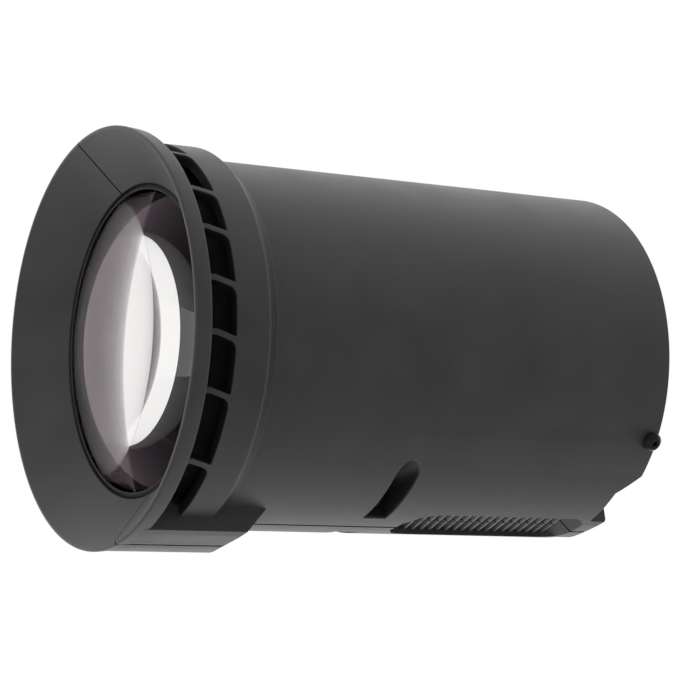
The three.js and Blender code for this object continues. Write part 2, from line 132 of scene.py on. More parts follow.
RIB_ANGLES = [36, 57.5, 73.5, 88.5, 104, 118.5, 139.5, 160.5]
RIB_HALF = 1.2
RIB_BEND = 12.5
RIB_SWEEP = 2.8
RIB_DEPTH = 5
TOP_RIB_HALF = 3.5

# front wall of the cooling space: a cone through two (radius, z) points
COOLING_WALL = ((CARRIER_R, 16.6), (86, 7.6))

BLOCK_HALF = 17.3
BLOCK_R = RIM_R - 0.4
BLOCK_FRONT = 4.5
BLOCK_FLAT_END = 51.5

_, BOTTOM_SCREW_Z, POCKET_DEPTH_R = centre_of("bottom_clamp_washer")
TOP_SCREWS = ("top_front", "top_middle", "top_rear")
POCKET_R = 5.9
POCKET_WALL = 2.6
HEAD_SEAT = size_mm("bottom_clamp_washer")[0][0] - GAP
NUT_SEAT = -size_mm("bottom_clamp_nut")[1][0] - GAP
TOP_NUT_SEAT = size_mm("top_front_clamp_nut")[0][0] - GAP
TOP_HOUSING = 15
NUT_HEIGHT = 3.2
NUT_FLATS = 7
WASHER_R = 4.6
WASHER_HOLE_R = 2.3
WASHER_HEIGHT = 0.8
SCREW_R = 1.95
SCREW_HOLE_R = 2.4
THREAD_PITCH = 0.7
THREAD_ROOT_R = 1.6
THREAD_REACH = 3
TIP_REACH = 5
HEAD_R = 3.8
HEAD_HEIGHT = 2.9
HEAD_SOCKET = 2.5

RECESS_FRONT = 138
RECESS_BACK = 234.3
RECESS_HALF = 16
RACK_FRONT = 146.6
RACK_BACK = 227.5
RACK_PITCH = 4.47
RACK_TEETH = 18
RACK_ROOT = TUBE_R - 5.8
RACK_TIP = TUBE_R - 3.4
TOOTH_HALF = 14.8
TOOTH_SLANT = 0.26
BED_R = 71
PIT_HALF = 1.3
PIT_LENGTH_HALF = 0.9
PIT_DEPTH = 2.2
LINE_HALF = 0.8
LINE_DEPTH = 0.6
WEB_INSET = 0.8

TONGUE_HALF = 13.8
TONGUE_INNER = 66
NOTCH_Z = 235.2
NOTCH_SIDE = 35.4

STUD_ANGLE = 48
STUD_Z = centre_of("right_guide_stud")[1]
STUD_R = 4.2
STUD_TOP = 84.0
STUD_SOCKET = 3
STUD_SHANK_R = 2
STUD_END = 71
STUD_HOLE_R = 2.3
STUD_HOLE_END = 71.5
STUD_BOSS_END = 72.5
DOWEL_R = 1.5
DOWEL_HOLE_R = 1.8
DOWEL_HOLE_HALF = 7.3

REACH = RIM_R + 10
SEGMENTS = 256
LENS_SEGMENTS = 192


# ---- mesh helpers ----

def new_object(name, mesh):
    thing = bpy.data.objects.new(name, mesh)
    bpy.context.scene.collection.objects.link(thing)
    return thing


def mesh_from(name, points, faces):
    """Mesh from millimetre points, with every face turned outwards."""
    mesh = bpy.data.meshes.new(name)
    mesh.from_pydata([tuple(c * MM for c in p) for p in points], [], faces)
    bm = bmesh.new()
    bm.from_mesh(mesh)
    bmesh.ops.remove_doubles(bm, verts=bm.verts, dist=1e-7)
    bmesh.ops.recalc_face_normals(bm, faces=bm.faces)
    bm.to_mesh(mesh)
    bm.free()
    return mesh


def rounded(points, closed=False, steps=5):
    """Outline with corners rounded: each point is (u, v) or (u, v, radius)."""
    out = []
    count = len(points)
    for i, point in enumerate(points):
        here = np.array(point[:2], float)
        radius = point[2] if len(point) > 2 else 0
        at_end = not closed and i in (0, count - 1)
        if radius == 0 or at_end:
            out.append(tuple(here))
            continue
        before = np.array(points[i - 1][:2], float) - here
        after = np.array(points[(i + 1) % count][:2], float) - here
        before /= np.linalg.norm(before)
        after /= np.linalg.norm(after)
        half = math.acos(np.clip(before @ after, -1, 1)) / 2
        if half > math.pi / 2 - 0.001:
            out.append(tuple(here))
            continue
        reach = radius / math.tan(half)
        centre = here + (before + after) / np.linalg.norm(before + after) * radius / math.sin(half)
        start = here + before * reach - centre
        finish = here + after * reach - centre
        turn = math.atan2(start[0] * finish[1] - start[1] * finish[0], start @ finish)
        for k in range(steps + 1):
            angle = turn * k / steps
            c, s = math.cos(angle), math.sin(angle)
            out.append(tuple(centre + (start[0] * c - start[1] * s, start[0] * s + start[1] * c)))
    return out


def refined(outline, step):
    """Closed outline with extra points, so that no stretch is longer than step."""
    out = []
    for here, there in zip(outline, outline[1:] + outline[:1]):
        parts = max(1, math.ceil(math.dist(here, there) / step))
        for k in range(parts):
            out.append(tuple(np.array(here) + (np.array(there) - here) * k / parts))
    return out


def turned(name, profile, segments, closed, place):
    """Body turned from (radius, length) points: place makes a point of (radius, length, sine, cosine)."""
    points, faces = [], []
    count = len(profile)
    for k in range(segments):
        angle = 2 * math.pi * k / segments
        sine, cosine = math.sin(angle), math.cos(angle)
        points += [place(radius, length, sine, cosine) for radius, length in profile]
    spans = count if closed else count - 1
    for k in range(segments):
        here, there = k * count, (k + 1) % segments * count
        for i in range(spans):
            j = (i + 1) % count
            faces.append((here + i, here + j, there + j, there + i))
    return mesh_from(name, points, faces)


def turned_mesh(name, profile, segments=SEGMENTS, closed=False):
    """Body turned about the optical axis from (radius, z) points; closed outlines make rings."""
    return turned(name, profile, segments, closed, lambda r, z, s, c: (r * s, FRONT_Y + z, r * c))


def prism(outline, depth0, depth1, place):
    """Straight or bent prism: place turns (u, v, depth) into a millimetre point."""
    count = len(outline)
    points = [place(u, v, depth0) for u, v in outline] + [place(u, v, depth1) for u, v in outline]
    faces = [tuple(range(count)), tuple(range(count, 2 * count))]
    faces += [(i, (i + 1) % count, count + (i + 1) % count, count + i) for i in range(count)]
    return mesh_from("prism", points, faces)


def across_seam(outline, s0, s1):
    """Prism from s0 to s1 whose outline holds (z, r) points."""
    return prism(outline, s0, s1, lambda z, r, s: (s, FRONT_Y + z, -r))


def slanted(outline, half, slant):
    """Prism of (z, r) points across the seam, running back by slant for each mm towards -X."""
    return prism(outline, -half, half, lambda z, r, s: (s, FRONT_Y + z - slant * s, -r))


def along_tube(outline, z0, z1):
    """Prism from z0 to z1 whose outline holds (s, r) points."""
    return prism(outline, z0, z1, lambda s, r, z: (s, FRONT_Y + z, -r))


def downwards(outline, r0, r1):
    """Prism from r0 to r1 whose outline holds (s, z) points."""
    return prism(outline, r0, r1, lambda s, z, r: (s, FRONT_Y + z, -r))


def around_tube(outline, r0, r1, side):
    """Prism from radius r0 to r1, bent round the axis: the outline holds (arc length at the collar, z)."""
    def place(arc, z, radius):
        angle = arc / COLLAR_R
        return side * radius * math.sin(angle), FRONT_Y + z, -radius * math.cos(angle)
    return prism(refined(outline, 3), r0, r1, place)


def stud_bar(radius, r0, r1, side):
    """Round bar that stands on the tube in a guide stud's place."""
    angle = math.radians(STUD_ANGLE)
    out = np.array((side * math.sin(angle), 0, -math.cos(angle)))
    across = np.array((-side * math.cos(angle), 0, -math.sin(angle)))
    centre = np.array((0, FRONT_Y + STUD_Z, 0))

    def place(u, v, r):
        return tuple(centre + out * r + across * u + np.array((0, v, 0)))
    return prism(circle_at(0, 0, radius), r0, r1, place)


def rectangle(u0, u1, v0, v1):
    return [(u0, v0), (u1, v0), (u1, v1), (u0, v1)]


def circle_at(u, v, radius, count=48):
    angles = np.linspace(0, 2 * math.pi, count, endpoint=False)
    return [(u + radius * math.cos(t), v + radius * math.sin(t)) for t in angles]


def slot_outline(z, centre, radius, open_end):
    """Round-bottomed slot of (z, r) points, open towards large r."""
    arc = [math.pi + math.pi * k / 20 for k in range(21)]
    bottom = [(z + radius * math.cos(t), centre + radius * math.sin(t)) for t in arc]
    return [(z - radius, open_end)] + bottom + [(z + radius, open_end)]


def to_top(mesh):
    """The same feature on the top of the tube, turned half way round the optical axis."""
    mesh.transform(Matrix.Rotation(math.pi, 4, "Y"))
    return mesh


def joined(meshes):
    """Several meshes that don't touch, as one."""
    bm = bmesh.new()
    for mesh in meshes:
        bm.from_mesh(mesh)
    out = bpy.data.meshes.new("joined")
    bm.to_mesh(out)
    bm.free()
    return out


def boolean(base, other, operation):
    """Exact union, difference or intersection of two closed meshes."""
    first, second = new_object("base", base), new_object("other", other)
    step = first.modifiers.new("step", "BOOLEAN")
    step.operation = operation
    step.solver = "MANIFOLD"
    step.object = second
    graph = bpy.context.evaluated_depsgraph_get()
    out = bpy.data.meshes.new_from_object(first.evaluated_get(graph))
    bpy.data.objects.remove(first)
    bpy.data.objects.remove(second)
    return out


def add(base, other):
    return boolean(base, other, "UNION")


def cut(base, other):
    return boolean(base, other, "DIFFERENCE")


def common(base, other):
    return boolean(base, other, "INTERSECT")


def smooth(thing, degrees=30):
    thing.data.polygons.foreach_set("use_smooth", [True] * len(thing.data.polygons))
    thing.data.set_sharp_from_angle(angle=math.radians(degrees))


def finish_piece(name, mesh, node, slot, material, degrees=30):
    """A fine piece that stands for a CAD node and takes its material; its slot is not used."""
    thing = new_object(name, mesh)
    smooth(thing, degrees)
    thing.data.materials.clear()
    thing.data.materials.append(material)
    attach(thing, "root")
    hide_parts(node)
    return thing


# ---- looks ----

MASK_BELOW = 70
SHELL_DARK = (0.024, 0.024, 0.0258)
SHELL_LIGHT = (0.031, 0.031, 0.033)
# edge colour of the shells: partly rubbed wear, partly a painted highlight
SHELL_EDGE_WEAR_AND_SHEEN = (0.11, 0.11, 0.113)
SHELL_SPECK = (0.09, 0.09, 0.095)
# painted shade: near-black colour for the shells' cooling space, tube inside, rack pits and bottom seam
SHELL_PAINTED_SHADE = (0.004, 0.004, 0.0045)
SHELL_ROUGH = 0.46
GLASS_INDEX = 1.52
GROUND_DARK = (0.75, 0.74, 0.75)
GROUND_LIGHT = (0.9, 0.89, 0.9)
COATING_COOL = (0.46, 0.38, 0.45)
COATING_WARM = (0.50, 0.40, 0.44)
GLASS_TINT = (0.99, 0.985, 0.98)
DUST = (0.6, 0.58, 0.6)
RUBBER_DARK = (0.006, 0.006, 0.006)
RUBBER_BLOOM = (0.016, 0.016, 0.017)
ANODISED_DARK = (0.010, 0.010, 0.011)
ANODISED_LIGHT = (0.020, 0.020, 0.022)
ANODISED_WORN = (0.18, 0.18, 0.19)
ZINC_BLUE = (0.50, 0.50, 0.52)
ZINC_YELLOW = (0.62, 0.59, 0.50)
ZINC_WORN = (0.72, 0.72, 0.72)
OXIDE_DARK = (0.014, 0.014, 0.015)
OXIDE_LIGHT = (0.032, 0.031, 0.031)
OXIDE_WORN = (0.22, 0.21, 0.20)
FLOOR_PAINT = (0.82, 0.82, 0.81)

# strength of the surroundings: (camera's side, far side) for matt and for shiny surfaces, and what is added
# on matt surfaces for light from above, from below and from in front
MATT_LIGHT = (0.7, 1.1)
LIGHT_ABOVE = 0.45
LIGHT_BELOW = 0.1
LIGHT_FRONT = 1.2
SHINY_LIGHT = (0.05, 1.3)
SHINY_RANGE = (-0.35, 0.8)


# ---- materials ----

class Nodes:
    """Short way to write a node tree."""

    def __init__(self, tree):
        self.tree = tree

    def node(self, kind, **settings):
        node = self.tree.nodes.new("ShaderNode" + kind)
        for key, value in settings.items():
            setattr(node, key, value)
        return node

    def link(self, source, target):
        self.tree.links.new(source, target)

    def shader_mix(self, factor, first, second):
        """Shader between two shader nodes."""
        node = self.node("MixShader")
        self.link(factor, node.inputs[0])
        self.link(first.outputs[0], node.inputs[1])
        self.link(second.outputs[0], node.inputs[2])
        return node

    def place(self):
        """Object coordinates, in metres."""
        return self.node("TexCoord").outputs["Object"]

    def noise(self, grain_mm, detail=2.0, roughness=0.55):
        """Noise whose grains are about grain_mm across."""
        noise = self.node("TexNoise")
        noise.inputs["Scale"].default_value = 1 / (grain_mm * MM)
        noise.inputs["Detail"].default_value = detail
        noise.inputs["Roughness"].default_value = roughness
        self.link(self.place(), noise.inputs["Vector"])
        return noise.outputs["Fac"]

    def spread(self, value, low, high, from_low=0.3, from_high=0.7):
        """Value mapped from its usual range to low..high."""
        ramp = self.node("MapRange")
        ramp.inputs["From Min"].default_value = from_low
        ramp.inputs["From Max"].default_value = from_high
        ramp.inputs["To Min"].default_value = low
        ramp.inputs["To Max"].default_value = high
        self.link(value, ramp.inputs["Value"])
        return ramp.outputs["Result"]

    def math(self, operation, *values):
        node = self.node("Math", operation=operation)
        for value, socket in zip(values, node.inputs):
            if isinstance(value, (int, float)):
                socket.default_value = value
            else:
                self.link(value, socket)
        return node.outputs[0]

    def blend(self, factor, first, second):
        """Colour between two, each a socket or a tuple."""
        node = self.node("Mix", data_type="RGBA")
        self.link(factor, node.inputs["Factor"])
        for value, socket in ((first, node.inputs["A"]), (second, node.inputs["B"])):
            if isinstance(value, tuple):
                socket.default_value = (*value, 1)
            else:
                self.link(value, socket)
        return node.outputs["Result"]

    def soft_edges(self, radius_mm):
        """Normal that runs smoothly over edges."""
        bevel = self.node("Bevel", samples=4)
        bevel.inputs["Radius"].default_value = radius_mm * MM
        return bevel.outputs["Normal"]

    def edge_mask(self, normal):
        """One on edges, zero on open faces."""
        flat = self.node("NewGeometry").outputs["Normal"]
        dot = self.node("VectorMath", operation="DOT_PRODUCT")
        self.link(normal, dot.inputs[0])
        self.link(flat, dot.inputs[1])
        return self.spread(dot.outputs["Value"], 1, 0, 0.8, 0.985)

    def all_of(self, first, *others):
        """One where every test is one."""
        for other in others:
            first = self.math("MULTIPLY", first, other)
        return first

    def any_of(self, first, *others):
        """One where a test is one."""
        for other in others:
            first = self.math("MAXIMUM", first, other)
        return first

    def between(self, value, low, high):
        above = self.math("GREATER_THAN", value, low)
        return self.math("MULTIPLY", above, self.math("LESS_THAN", value, high))

    def painted_shade_mask(self):
        """One where shade is painted on the shells: the cooling space, the tube's inside, the rack's pits and
        the bottom seam.
        """
        split = self.node("SeparateXYZ")
        self.link(self.place(), split.inputs[0])
        x, y, z = (self.math("DIVIDE", split.outputs[axis], MM) for axis in "XYZ")
        square = self.math("ADD", self.math("POWER", x, 2), self.math("POWER", z, 2))
        radius = self.math("SQRT", square)
        depth = self.math("SUBTRACT", y, float(FRONT_Y))
        sideways = self.math("ABSOLUTE", x)
        underneath = self.math("LESS_THAN", z, -MASK_BELOW)
        bell_back = self.math("ADD", self.math("MULTIPLY", depth, -BELL_SLOPE), RIM_R - 1)
        cooling = self.all_of(
            self.between(radius, bell_back, COLLAR_R - 0.9),
            self.between(depth, WINDOW_FRONT - 0.8, TUBE_START),
            self.math("GREATER_THAN", sideways, BLOCK_HALF + 0.3),
        )
        rack = self.all_of(
            self.math("LESS_THAN", sideways, RECESS_HALF + 0.5),
            underneath,
            self.math("GREATER_THAN", depth, RECESS_FRONT - 3),
        )
        tube = self.all_of(
            self.math("LESS_THAN", radius, TUBE_R - 1),
            self.math("GREATER_THAN", depth, BELL_DEPTH + 0.4),
            self.math("SUBTRACT", 1, rack),
        )
        pits = self.all_of(
            self.math("LESS_THAN", sideways, PIT_HALF + 0.15),
            self.between(z, -RACK_ROOT - 0.7, -RACK_ROOT + 3),
            self.between(depth, RACK_FRONT, RECESS_BACK),
        )
        lines = [self.all_of(
            self.math("LESS_THAN", sideways, LINE_HALF + 0.05),
            underneath,
            self.between(radius, outside - LINE_DEPTH - 0.1, outside - 0.05),
            self.math("GREATER_THAN", depth, BLOCK_FRONT + 2),
        ) for outside in (TUBE_R, BLOCK_R)]
        seam = self.math("LESS_THAN", sideways, SEAM_HALF + 0.01)
        return self.any_of(cooling, tube, pits, seam, *lines)

    def bump(self, height, distance_mm, strength=1.0, normal=None):
        bump = self.node("Bump")
        bump.inputs["Strength"].default_value = strength
        bump.inputs["Distance"].default_value = distance_mm * MM
        self.link(height, bump.inputs["Height"])
        if normal is not None:
            self.link(normal, bump.inputs["Normal"])
        return bump.outputs["Normal"]


class Material(Nodes):
    """Node tree of a new material."""

    def __init__(self, name):
        self.material = bpy.data.materials.new(name)
        self.material.use_nodes = True
        super().__init__(self.material.node_tree)
        self.tree.nodes.clear()
        self.output = self.node("OutputMaterial")

    def principled(self, **inputs):
        surface = self.node("BsdfPrincipled")
        for key, value in inputs.items():
            surface.inputs[key].default_value = value
        self.link(surface.outputs[0], self.output.inputs[0])
        return surface


def black_shell():
    """Black moulded body with a fine powdery grain, dust specks, slightly polished edges lightened partly as
    wear and partly as a painted highlight, and painted shade in its recesses and along the seam.
    """
    n = Material("black_textured_shell")
    surface = n.principled(IOR=1.5)
    soft = n.soft_edges(0.35)
    edges = n.edge_mask(soft)
    grain = n.noise(0.32, 3.0, 0.7)
    cloud = n.noise(28, 3.0)
    tone = n.blend(n.spread(cloud, 0, 1), SHELL_DARK, SHELL_LIGHT)
    # lighter edges: partly rubbed wear, partly a painted highlight along the edges
    wear = n.math("MULTIPLY", edges, n.spread(n.noise(1.4, 4.0), 0.1, 0.75, 0.42, 0.66))
    # blends the tone with the lighter edge colour, then with painted shade in the recesses and along the seam
    wear_sheen_and_shade = n.blend(n.painted_shade_mask(), n.blend(wear, tone, SHELL_EDGE_WEAR_AND_SHEEN), SHELL_PAINTED_SHADE)
    specks = n.spread(n.noise(0.55, 1.0), 0, 1, 0.71, 0.78)
    n.link(n.blend(n.math("MULTIPLY", specks, 0.35), wear_sheen_and_shade, SHELL_SPECK), surface.inputs["Base Color"])
    rough = n.math("ADD", n.spread(cloud, SHELL_ROUGH - 0.03, SHELL_ROUGH + 0.04), n.spread(grain, -0.06, 0.06))
    n.link(n.math("SUBTRACT", rough, n.math("MULTIPLY", wear, 0.12)), surface.inputs["Roughness"])
    n.link(n.bump(grain, 0.09, 0.8, soft), surface.inputs["Normal"])
    return n.material


def lens_glass():
    """Coated glass: a mauve-tinted outer reflection, full reflection inside, and a little dust."""
    n = Material("coated_lens_glass")
    clear = n.node("BsdfRefraction")
    clear.inputs["IOR"].default_value = GLASS_INDEX
    clear.inputs["Roughness"].default_value = 0
    clear.inputs["Color"].default_value = (*GLASS_TINT, 1)
    mirror = n.node("BsdfGlossy")
    mirror.inputs["Roughness"].default_value = 0
    fresnel = n.node("Fresnel")
    fresnel.inputs["IOR"].default_value = GLASS_INDEX
    inside = n.node("NewGeometry").outputs["Backfacing"]
    streaks = n.blend(n.spread(n.noise(9, 3.0), 0, 1), COATING_COOL, COATING_WARM)
    n.link(n.blend(inside, streaks, (1, 1, 1)), mirror.inputs["Color"])
    optics = n.shader_mix(fresnel.outputs[0], clear, mirror)
    dust = n.node("BsdfDiffuse")
    dust.inputs["Color"].default_value = (*DUST, 1)
    dusty = n.shader_mix(n.spread(n.noise(0.7, 1.0), 0, 0.06, 0.74, 0.8), optics, dust)
    n.link(dusty.outputs[0], n.output.inputs[0])
    return n.material


def ground_glass():
    """Fine-ground edge of a lens."""
    n = Material("ground_lens_edge")
    surface = n.principled(Roughness=0.7)
    grain = n.noise(0.5, 3.0)
    n.link(n.blend(n.spread(grain, 0, 1), GROUND_DARK, GROUND_LIGHT), surface.inputs["Base Color"])
    n.link(n.bump(grain, 0.03, 0.5), surface.inputs["Normal"])
    return n.material


def rubber():
    """Matt black silicone with bloom and mould grain."""
    n = Material("black_silicone")
    surface = n.principled(IOR=1.45)
    grain = n.noise(0.25, 2.0)
    bloom = n.noise(6, 4.0)
    n.link(n.blend(n.spread(bloom, 0, 1), RUBBER_DARK, RUBBER_BLOOM), surface.inputs["Base Color"])
    n.link(n.spread(bloom, 0.62, 0.8), surface.inputs["Roughness"])
    n.link(n.bump(grain, 0.03, 0.6, n.soft_edges(0.2)), surface.inputs["Normal"])
    return n.material


def anodised():
    """Black anodised aluminium, turned: fine rings round the optical axis."""
    n = Material("black_anodised_aluminium")
    surface = n.principled(IOR=1.5, Metallic=0.35)
    soft = n.soft_edges(0.25)
    edges = n.edge_mask(soft)
    wear = n.math("MULTIPLY", edges, n.spread(n.noise(1.1, 4.0), 0, 0.8, 0.45, 0.66))
    tone = n.blend(n.spread(n.noise(14, 3.0), 0, 1), ANODISED_DARK, ANODISED_LIGHT)
    n.link(n.blend(wear, tone, ANODISED_WORN), surface.inputs["Base Color"])
    rings = n.node("TexWave", wave_type="RINGS", rings_direction="Y")
    rings.inputs["Scale"].default_value = 900
    rings.inputs["Distortion"].default_value = 0.6
    rings.inputs["Detail"].default_value = 1
    n.link(n.place(), rings.inputs["Vector"])
    n.link(n.spread(rings.outputs["Fac"], 0.42, 0.58, 0, 1), surface.inputs["Roughness"])
    n.link(n.bump(rings.outputs["Fac"], 0.01, 0.4, soft), surface.inputs["Normal"])
    return n.material


def zinc():
    """Bright zinc plate with a faint yellow-blue passivation and fine scratches."""
    n = Material("zinc_plate")
    surface = n.principled(Metallic=1.0)
    tone = n.blend(n.spread(n.noise(3, 3.0), 0, 1), ZINC_BLUE, ZINC_YELLOW)
    edges = n.edge_mask(n.soft_edges(0.2))
    n.link(n.blend(edges, tone, ZINC_WORN), surface.inputs["Base Color"])
    scratches = n.noise(0.18, 5.0, 0.7)
    n.link(n.spread(scratches, 0.24, 0.46), surface.inputs["Roughness"])
    n.link(n.bump(scratches, 0.01, 0.5, n.soft_edges(0.12)), surface.inputs["Normal"])
    return n.material


def black_oxide():
    """Black oxide steel, rubbed bright along its edges."""
    n = Material("black_oxide_steel")
    surface = n.principled(Metallic=0.7)
    soft = n.soft_edges(0.25)
    wear = n.math("MULTIPLY", n.edge_mask(soft), n.spread(n.noise(0.8, 4.0), 0.2, 1.0, 0.4, 0.6))
    tone = n.blend(n.spread(n.noise(4, 3.0), 0, 1), OXIDE_DARK, OXIDE_LIGHT)
    n.link(n.blend(wear, tone, OXIDE_WORN), surface.inputs["Base Color"])
    grain = n.noise(0.2, 3.0)
    n.link(n.spread(grain, 0.3, 0.5), surface.inputs["Roughness"])
    n.link(n.bump(grain, 0.02, 0.5, soft), surface.inputs["Normal"])
    return n.material


SHELL = black_shell()
GLASS = lens_glass()
GROUND = ground_glass()
RUBBER = rubber()
ANODISED = anodised()
ZINC = zinc()
OXIDE = black_oxide()


# ---- shells ----

def outer_form():
    """Everything inside the outer surface, filled to the axis."""
    return turned_mesh("outer", rounded([
        (0, 0),
        (RIM_R, 0, 1.0),
        (RIM_R - 0.7, RIM_DEPTH, 1.1),
        (COLLAR_R, WINDOW_FRONT - 0.6, 0.4),
        (COLLAR_R, COLLAR_END, 1.6),
        (TUBE_R, TUBE_START, 2.2),
        (TUBE_R, LENGTH, 0.8),
        (0, LENGTH),
    ], steps=6))


def inner_space():
    """Bell mouth, bore, lens groove and the open tube behind."""
    slope = (BELL_LAND_R - BORE_R) / BELL_DEPTH
    return turned_mesh("inner", rounded([
        (0, -3),
        (BELL_LAND_R + 5, -3),
        (BELL_LAND_R + 0.4, 0, 0.5),
        (BORE_R + 0.2 * slope, BELL_DEPTH - 0.2, 0.5),
        (BORE_R, GROOVE_FRONT),
        (GROOVE_R, GROOVE_FRONT),
        (GROOVE_R, GROOVE_BACK),
        (REAR_LIP_R, GROOVE_BACK, 0.4),
        (REAR_LIP_R, GROOVE_BACK + REAR_LIP_DEPTH, 0.4),
        (INNER_R, GROOVE_BACK + REAR_LIP_DEPTH, 1.2),
        (INNER_R, LENGTH - 0.5, 0.4),
        (INNER_R + 2, LENGTH + 1.5),
        (0, LENGTH + 1.5),
    ], steps=4))


def cooling_ring(inner, outer):
    """Cooling space around the lens carrier, between two radii. Outside the tube it ends at the windows."""
    (r0, z0), (r1, z1) = COOLING_WALL
    slope = (z0 - z1) / (r1 - r0)
    front = z0 - slope * (inner - r0)
    back = (WINDOW_BACK, WINDOW_BACK) if outer > TUBE_R else (COLLAR_END - 2, TUBE_START - 2)
    profile = [(inner, front), (outer, front - slope * (outer - inner)), (outer, back[0]), (inner, back[1])]
    return turned_mesh("cooling", profile, closed=True)


def window_outline(lower, upper, straight_lower=False, straight_upper=False):
    """Opening between two ribs: edges as arc lengths at the collar. Ribs sweep down towards the collar."""
    low_sweep = 0 if straight_lower else RIB_SWEEP
    high_sweep = 0 if straight_upper else RIB_SWEEP
    return rounded([
        (lower, WINDOW_FRONT, 1.0),
        (lower, RIB_BEND, 2.5),
        (lower - low_sweep, WINDOW_BACK, 0.5),
        (upper - high_sweep, WINDOW_BACK, 4.2),
        (upper, RIB_BEND, 2.5),
        (upper, WINDOW_FRONT, 1.2),
    ], closed=True, steps=6)


def windows():
    """All openings between the bell and the collar."""
    arcs = [COLLAR_R * math.radians(a) for a in RIB_ANGLES]
    block_side = COLLAR_R * math.asin((BLOCK_HALF - 1) / COLLAR_R)
    top = COLLAR_R * math.pi - TOP_RIB_HALF
    outlines = [window_outline(block_side, arcs[0] - RIB_HALF, straight_lower=True)]
    for low, high in zip(arcs, arcs[1:]):
        outlines.append(window_outline(low + RIB_HALF, high - RIB_HALF))
    outlines.append(window_outline(arcs[-1] + RIB_HALF, top, straight_upper=True))
    inner = COLLAR_R - RIB_DEPTH - 2
    cutters = joined([around_tube(o, inner, RIM_R + 1, side) for o in outlines for side in (1, -1)])
    return common(cutters, cooling_ring(COLLAR_R - RIB_DEPTH - 0.5, RIM_R + 3))


def seam_block():
    """Block over the bottom seam: round underneath, with crisp edges and a soft bend into its rear ramp."""
    spread = math.asin(BLOCK_HALF / BLOCK_R)
    arc = [spread * (1 - i / 12) for i in range(25)]
    across = [(-BLOCK_HALF, GROOVE_R - 1), (BLOCK_HALF, GROOVE_R - 1)]
    across += [(BLOCK_R * math.sin(angle), BLOCK_R * math.cos(angle)) for angle in arc]
    run = BLOCK_R - TUBE_R + 4
    side = rounded([
        (BLOCK_FRONT, GROOVE_R - 2),
        (BLOCK_FLAT_END + run, GROOVE_R - 2),
        (BLOCK_FLAT_END + run, BLOCK_R - run),
        (BLOCK_FLAT_END, BLOCK_R, 5),
        (BLOCK_FRONT, BLOCK_R, 1),
    ], closed=True, steps=8)
    bar = along_tube(across, BLOCK_FRONT - 1, BLOCK_FLAT_END + run + 1)
    return common(bar, across_seam(side, -BLOCK_HALF - 1, BLOCK_HALF + 1))


def screw_housing(z, nut_end):
    """Solid round a clamp screw whose head is on the +X side."""
    return across_seam(slot_outline(z, POCKET_DEPTH_R, POCKET_R + POCKET_WALL, TUBE_R), -nut_end, TUBE_R)


def head_pocket(z):
    return across_seam(slot_outline(z, POCKET_DEPTH_R, POCKET_R, TUBE_R + 5), HEAD_SEAT, TUBE_R)


def nut_pocket(z):
    return across_seam(slot_outline(z, POCKET_DEPTH_R, POCKET_R, TUBE_R + 5), -TUBE_R, -NUT_SEAT)


def nut_slot(z):
    """Slot for a top nut, open to the inside of the tube."""
    half = NUT_FLATS / 2 + GAP
    outer = POCKET_DEPTH_R + NUT_FLATS / math.sqrt(3) + GAP
    end = -TOP_NUT_SEAT - NUT_HEIGHT - 2 * GAP
    return across_seam(rectangle(z - half, z + half, TUBE_R / 2, outer), end, -TOP_NUT_SEAT)


def screw_hole(z):
    return across_seam(circle_at(z, POCKET_DEPTH_R, SCREW_HOLE_R, 32), -NUT_SEAT - 1, NUT_SEAT + 1)


def rack_bed():
    half = RECESS_HALF + WALL
    return downwards(rectangle(-half, half, RECESS_FRONT - WALL, RECESS_BACK + WALL), BED_R, TUBE_R)


def rack_recess():
    """Recess whose sides draw in towards both ends, where its floor rises to the tube's surface."""
    half = [
        (5, RECESS_FRONT, 4),
        (RECESS_HALF - 2, RECESS_FRONT + 7, 6),
        (RECESS_HALF, RACK_FRONT + 7, 6),
        (RECESS_HALF, RACK_BACK, 5),
        (10, RECESS_BACK, 3),
    ]
    mirrored = [(-s, z, radius) for s, z, radius in reversed(half)]
    plan = rounded(half + mirrored, closed=True, steps=6)
    lip = TUBE_R + 0.2
    side = rounded([
        (RECESS_FRONT, lip, 0.1),
        (RACK_FRONT - 1, RACK_ROOT, 4),
        (RACK_BACK + 1, RACK_ROOT, 2),
        (RECESS_BACK, lip, 0.1),
        (RECESS_BACK + 2, TUBE_R + 5),
        (RECESS_FRONT - 2, TUBE_R + 5),
    ], closed=True, steps=6)
    return common(downwards(plan, 70, TUBE_R + 4), across_seam(side, -RECESS_HALF - 5, RECESS_HALF + 5))


def rack_teeth():
    """Ridges across the recess on both sides of the seam, with rounded crests."""
    teeth = []
    for tooth in range(RACK_TEETH):
        z = RACK_FRONT + 2 + tooth * RACK_PITCH
        outline = rounded([
            (z - 1.7, RACK_ROOT - 0.5),
            (z - 1.7, RACK_ROOT),
            (z - 0.55, RACK_TIP, 0.35),
            (z + 0.55, RACK_TIP, 0.35),
            (z + 1.7, RACK_ROOT),
            (z + 1.7, RACK_ROOT - 0.5),
        ], closed=True, steps=3)
        teeth.append(slanted(outline, TOOTH_HALF, TOOTH_SLANT))
    return joined(teeth)


def seam_pits():
    """Small pits between the teeth, where the two halves meet."""
    pits = []
    lean = PIT_HALF * TOOTH_SLANT
    for gap in range(RACK_TEETH + 1):
        z = RACK_FRONT + 2 + (gap - 0.5) * RACK_PITCH
        z0, z1 = z - PIT_LENGTH_HALF, z + PIT_LENGTH_HALF
        outline = [(-PIT_HALF, z0 + lean), (PIT_HALF, z0 - lean), (PIT_HALF, z1 - lean), (-PIT_HALF, z1 + lean)]
        pits.append(downwards(outline, RACK_ROOT - PIT_DEPTH, RACK_TIP))
    return joined(pits)


